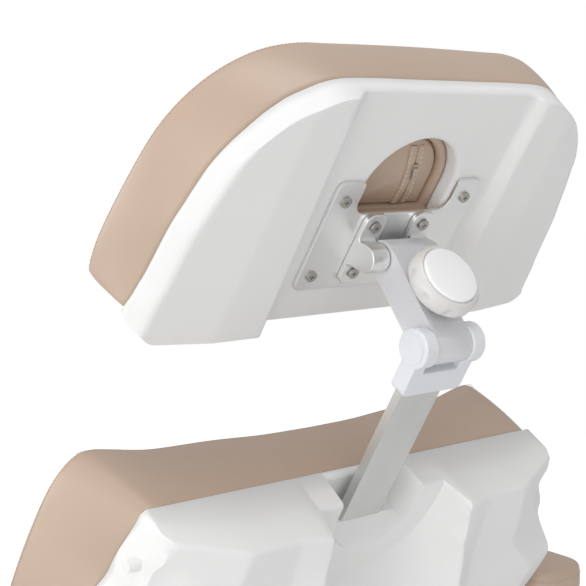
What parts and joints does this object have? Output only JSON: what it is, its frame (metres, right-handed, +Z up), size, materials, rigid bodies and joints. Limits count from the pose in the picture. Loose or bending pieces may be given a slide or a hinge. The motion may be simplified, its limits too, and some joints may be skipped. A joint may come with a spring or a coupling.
{
  "type": "podiatry chair",
  "caption": "Electric podiatry chair with lifting column, reclining back, jointed headrest with face hole, folding armrests and separate sliding leg rests.",
  "frame": {"origin": "on the floor under the middle of the chair, on the lifting column's axis", "axes": "+Z up, the sitter faces -Y, +X is the sitter's left"},
  "size_m": [0.773, 1.3497, 1.3333],
  "materials": {
    "white_shell": "satin",
    "taupe_vinyl": "satin",
    "satin_aluminium": "satin",
    "arm_silver": "satin",
    "white_enamel": "satin",
    "knob_plastic": "gloss",
    "zinc_steel": "satin",
    "grey_steel": "satin",
    "plywood": "matte",
    "black_plastic": "matte",
    "black_rubber": "matte"
  },
  "bodies": {
    "base": {"base_plate": "grey_steel", "levelling_feet": "black_rubber", "base_cover": "white_shell", "mains_inlet": "black_plastic", "column_outer_tube": "grey_steel", "column_cover_lower": "white_shell", "lift_actuator": "grey_steel"},
    "lift": {"column_inner_tube": "zinc_steel", "column_cover_upper": "white_shell", "lift_ram": "zinc_steel", "lift_head": "grey_steel", "frame_bolts": "zinc_steel", "seat_frame": "grey_steel", "seat_board": "plywood", "seat_shell": "white_shell", "seat_cushion": "taupe_vinyl", "recline_pins": "zinc_steel", "leg_pins": "zinc_steel", "recline_actuator": "grey_steel"},
    "recline_rod": {"recline_rod": "zinc_steel"},
    "backrest": {"backrest_frame": "grey_steel", "backrest_board": "plywood", "backrest_shell": "white_shell", "backrest_cushion": "taupe_vinyl", "bar_guide": "black_plastic", "strap_pegs": "white_shell", "armrest_pivots": "zinc_steel"},
    "armrest_left": {"armrest_arm_left": "grey_steel", "armrest_pad_left": "taupe_vinyl"},
    "armrest_right": {"armrest_arm_right": "grey_steel", "armrest_pad_right": "taupe_vinyl"},
    "headrest_post": {"headrest_bar": "satin_aluminium", "bar_fork": "white_enamel", "fork_pin": "zinc_steel", "fork_caps": "knob_plastic"},
    "tilt_arm": {"tilt_arm": "arm_silver", "clamp_stud": "zinc_steel"},
    "clamp_knob": {"clamp_knob": "knob_plastic", "knob_cap": "knob_plastic"},
    "headrest": {"clevis": "satin_aluminium", "clevis_pin": "zinc_steel", "mount_plate": "satin_aluminium", "plate_screws": "zinc_steel", "clevis_screws": "zinc_steel", "headrest_shell": "white_shell", "headrest_cushion": "taupe_vinyl", "hole_liner": "taupe_vinyl"},
    "face_plug": {"face_plug": "taupe_vinyl"},
    "leg_left": {"leg_carrier_left": "grey_steel"},
    "leg_pad_left": {"leg_slider_left": "zinc_steel", "leg_shell_left": "white_shell", "leg_cushion_left": "taupe_vinyl"},
    "leg_knob_left": {"leg_knob_left": "black_plastic"},
    "leg_right": {"leg_carrier_right": "grey_steel"},
    "leg_pad_right": {"leg_slider_right": "zinc_steel", "leg_shell_right": "white_shell", "leg_cushion_right": "taupe_vinyl"},
    "leg_knob_right": {"leg_knob_right": "black_plastic"}
  },
  "joints": [
    {"name": "lift_height", "type": "slide", "parent": "base", "child": "lift", "axis": [0, 0, 1], "range_m": [0, 0.28]},
    {"name": "recline", "type": "hinge", "parent": "lift", "child": "backrest", "pos_m": [0, 0.235, 0.5], "axis": [-1, 0, 0], "range_deg": [-20, 56]},
    {"name": "recline_rod_slide", "type": "slide", "parent": "lift", "child": "recline_rod", "axis": [0, 1, 0], "range_m": [-0.04, 0.015]},
    {"name": "headrest_height", "type": "slide", "parent": "backrest", "child": "headrest_post", "axis": [0, 0.5186, 0.855], "range_m": [-0.06, 0.05]},
    {"name": "arm_tilt", "type": "hinge", "parent": "headrest_post", "child": "tilt_arm", "pos_m": [0, 0.64026, 1.07652], "axis": [-1, 0, 0], "range_deg": [-10, 60]},
    {"name": "knob_turn", "type": "hinge", "parent": "tilt_arm", "child": "clamp_knob", "pos_m": [0, 0.63655, 1.13039], "axis": [0, 0.7913, 0.6114], "range_deg": [-180, 180]},
    {"name": "headrest_tilt", "type": "hinge", "parent": "tilt_arm", "child": "headrest", "pos_m": [0, 0.58217, 1.15169], "axis": [-1, 0, 0], "range_deg": [-30, 40]},
    {"name": "plug_pull", "type": "slide", "parent": "headrest", "child": "face_plug", "axis": [0, -0.8253, 0.5647], "range_m": [0, 0.1]},
    {"name": "armrest_fold_left", "type": "hinge", "parent": "backrest", "child": "armrest_left", "pos_m": [0.3, 0.4337, 0.73503], "axis": [-1, 0, 0], "range_deg": [-30, 110]},
    {"name": "leg_tilt_left", "type": "hinge", "parent": "lift", "child": "leg_left", "pos_m": [0.145, -0.26, 0.458], "axis": [-1, 0, 0], "range_deg": [-32, 38]},
    {"name": "leg_slide_left", "type": "slide", "parent": "leg_left", "child": "leg_pad_left", "axis": [0, -0.788, -0.6157], "range_m": [0, 0.12]},
    {"name": "leg_knob_turn_left", "type": "hinge", "parent": "leg_left", "child": "leg_knob_left", "pos_m": [0.18, -0.42154, 0.33179], "axis": [1, 0, 0], "range_deg": [-90, 90]},
    {"name": "armrest_fold_right", "type": "hinge", "parent": "backrest", "child": "armrest_right", "pos_m": [-0.3, 0.4337, 0.73503], "axis": [-1, 0, 0], "range_deg": [-30, 110]},
    {"name": "leg_tilt_right", "type": "hinge", "parent": "lift", "child": "leg_right", "pos_m": [-0.145, -0.26, 0.458], "axis": [-1, 0, 0], "range_deg": [-32, 38]},
    {"name": "leg_slide_right", "type": "slide", "parent": "leg_right", "child": "leg_pad_right", "axis": [0, -0.788, -0.6157], "range_m": [0, 0.12]},
    {"name": "leg_knob_turn_right", "type": "hinge", "parent": "leg_right", "child": "leg_knob_right", "pos_m": [-0.18, -0.42154, 0.33179], "axis": [-1, 0, 0], "range_deg": [-90, 90]}
  ],
  "couplings": [
    {"joint": "recline_rod_slide", "follows": "recline", "m_per_rad": -0.0397}
  ]
}
